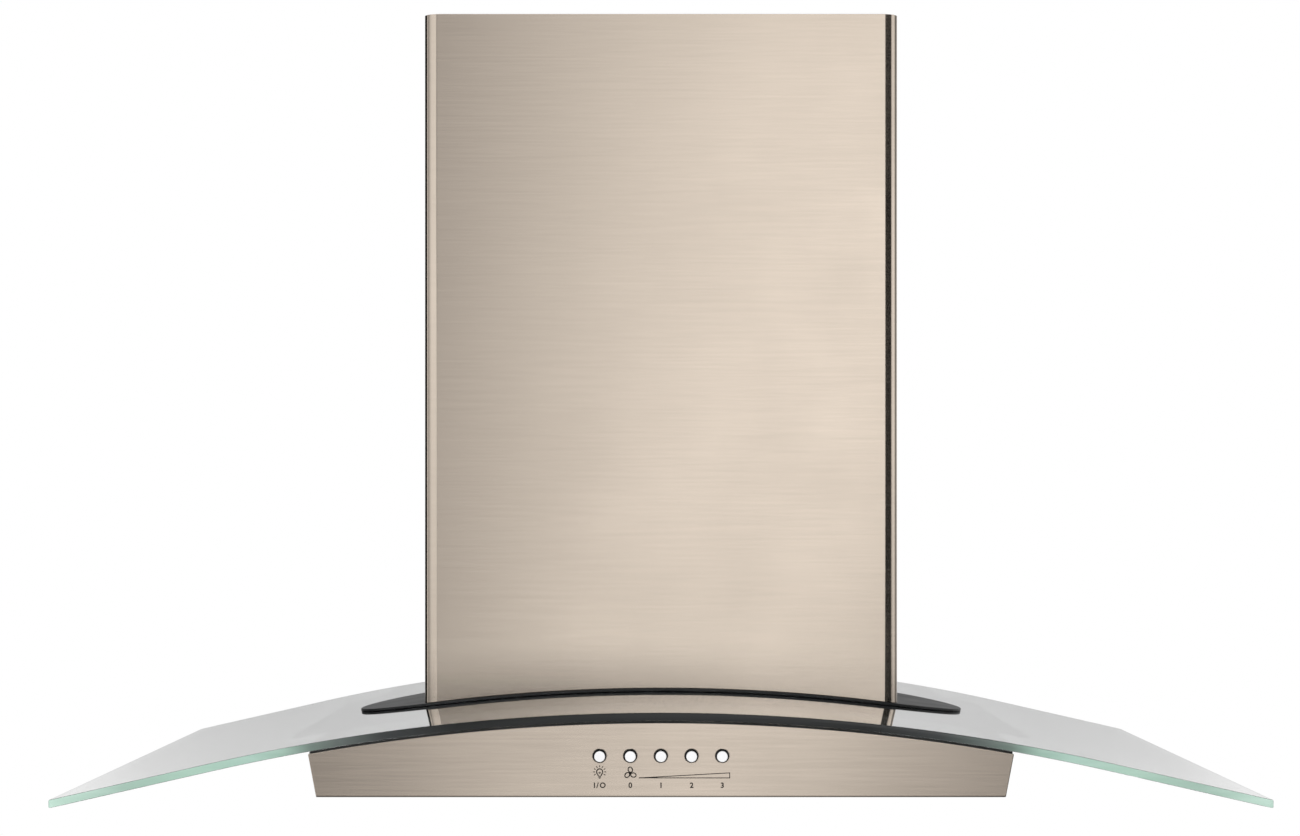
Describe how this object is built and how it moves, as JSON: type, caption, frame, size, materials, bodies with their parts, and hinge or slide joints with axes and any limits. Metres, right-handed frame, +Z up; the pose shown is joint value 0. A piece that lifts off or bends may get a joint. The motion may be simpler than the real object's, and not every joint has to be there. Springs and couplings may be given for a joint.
{
  "type": "island range hood",
  "caption": "Ceiling-hung kitchen extractor hood with a curved glass canopy, steel chimney, push buttons, centrifugal blower and drop-down grease filters",
  "frame": {"origin": "centre of the ceiling plate's top face, on the duct's axis", "axes": "+X to the user's right along the canopy's width, +Y away from the button side, +Z up"},
  "size_m": [0.9, 0.7012, 0.6284],
  "materials": {
    "brushed_steel": "brushed, warm champagne tone",
    "canopy_glass": "clear tempered, polished pale green edge",
    "black_steel": "satin black powder coat",
    "galvanised_steel": "galvanised, dull spangle",
    "black_rubber": "matte",
    "grey_plastic": "matte moulded",
    "white_plastic": "satin moulded",
    "aluminium": "satin",
    "motor_metal": "bare machined",
    "lamp_glass": "frosted"
  },
  "bodies": {
    "ceiling_frame": {"ceiling_plate": "galvanised_steel", "upper_rail_front_left": "galvanised_steel", "upper_rail_front_right": "galvanised_steel", "upper_rail_rear_left": "galvanised_steel", "upper_rail_rear_right": "galvanised_steel", "upper_chimney_front": "brushed_steel", "upper_chimney_rear": "brushed_steel"},
    "hood": {"body_deck": "galvanised_steel", "blower_plate": "galvanised_steel", "motor_bracket": "galvanised_steel", "duct_collar": "galvanised_steel", "lower_rail_front_left": "galvanised_steel", "lamp_lens_front_left": "lamp_glass", "lamp_cup_front_left": "aluminium", "lower_rail_front_right": "galvanised_steel", "lamp_lens_front_right": "lamp_glass", "lamp_cup_front_right": "aluminium", "lower_rail_rear_left": "galvanised_steel", "lamp_lens_rear_left": "lamp_glass", "lamp_cup_rear_left": "aluminium", "lower_rail_rear_right": "galvanised_steel", "lamp_lens_rear_right": "lamp_glass", "lamp_cup_rear_right": "aluminium", "lower_chimney_front": "brushed_steel", "lower_chimney_rear": "brushed_steel", "front_fascia": "brushed_steel", "rear_fascia": "brushed_steel", "side_panel_left": "brushed_steel", "side_panel_right": "brushed_steel", "bottom_panel": "brushed_steel", "glass_canopy": "canopy_glass", "collar_plate": "black_steel", "support_plate": "black_steel", "glass_seal_front": "black_rubber", "glass_seal_rear": "black_rubber", "switch_module": "grey_plastic", "junction_box": "grey_plastic", "junction_box_lid": "grey_plastic", "cable_gland": "grey_plastic", "blower_casing_front": "grey_plastic", "blower_casing_rear": "grey_plastic", "blower_motor": "motor_metal"},
    "fan_wheel": {"fan_wheel": "grey_plastic"},
    "damper_left": {"damper_left": "grey_plastic"},
    "damper_right": {"damper_right": "grey_plastic"},
    "button_lamp": {"button_lamp": "white_plastic"},
    "button_off": {"button_off": "white_plastic"},
    "button_low": {"button_low": "white_plastic"},
    "button_medium": {"button_medium": "white_plastic"},
    "button_high": {"button_high": "white_plastic"},
    "filter_left": {"filter_frame_left": "aluminium", "filter_mesh_left": "aluminium"},
    "latch_left": {"filter_latch_left": "grey_plastic"},
    "filter_right": {"filter_frame_right": "aluminium", "filter_mesh_right": "aluminium"},
    "latch_right": {"filter_latch_right": "grey_plastic"}
  },
  "joints": [
    {"name": "height_adjustment", "type": "slide", "parent": "ceiling_frame", "child": "hood", "axis": [0, 0, -1], "range_m": [0, 0.3]},
    {"name": "fan_spin", "type": "hinge", "parent": "hood", "child": "fan_wheel", "pos_m": [0.038, 0, -0.425], "axis": [0, 1, 0], "continuous": true},
    {"name": "damper_left_swing", "type": "hinge", "parent": "hood", "child": "damper_left", "pos_m": [-0.003, 0, -0.3], "axis": [0, 1, 0], "range_deg": [0, 80]},
    {"name": "damper_right_swing", "type": "hinge", "parent": "hood", "child": "damper_right", "pos_m": [0.003, 0, -0.3], "axis": [0, -1, 0], "range_deg": [0, 80]},
    {"name": "button_lamp_push", "type": "slide", "parent": "hood", "child": "button_lamp", "axis": [0, 1, 0], "range_m": [0, 0.002], "stiffness_N_per_m": 300},
    {"name": "button_off_push", "type": "slide", "parent": "hood", "child": "button_off", "axis": [0, 1, 0], "range_m": [0, 0.002], "stiffness_N_per_m": 300},
    {"name": "button_low_push", "type": "slide", "parent": "hood", "child": "button_low", "axis": [0, 1, 0], "range_m": [0, 0.002], "stiffness_N_per_m": 300},
    {"name": "button_medium_push", "type": "slide", "parent": "hood", "child": "button_medium", "axis": [0, 1, 0], "range_m": [0, 0.002], "stiffness_N_per_m": 300},
    {"name": "button_high_push", "type": "slide", "parent": "hood", "child": "button_high", "axis": [0, 1, 0], "range_m": [0, 0.002], "stiffness_N_per_m": 300},
    {"name": "filter_left_drop", "type": "hinge", "parent": "hood", "child": "filter_left", "pos_m": [-0.121, 0.16, -0.617], "axis": [1, 0, 0], "range_deg": [0, 75]},
    {"name": "latch_left_pull", "type": "slide", "parent": "filter_left", "child": "latch_left", "axis": [0, 1, 0], "range_m": [0, 0.006], "stiffness_N_per_m": 300},
    {"name": "filter_right_drop", "type": "hinge", "parent": "hood", "child": "filter_right", "pos_m": [0.121, 0.16, -0.617], "axis": [1, 0, 0], "range_deg": [0, 75]},
    {"name": "latch_right_pull", "type": "slide", "parent": "filter_right", "child": "latch_right", "axis": [0, 1, 0], "range_m": [0, 0.006], "stiffness_N_per_m": 300}
  ]
}
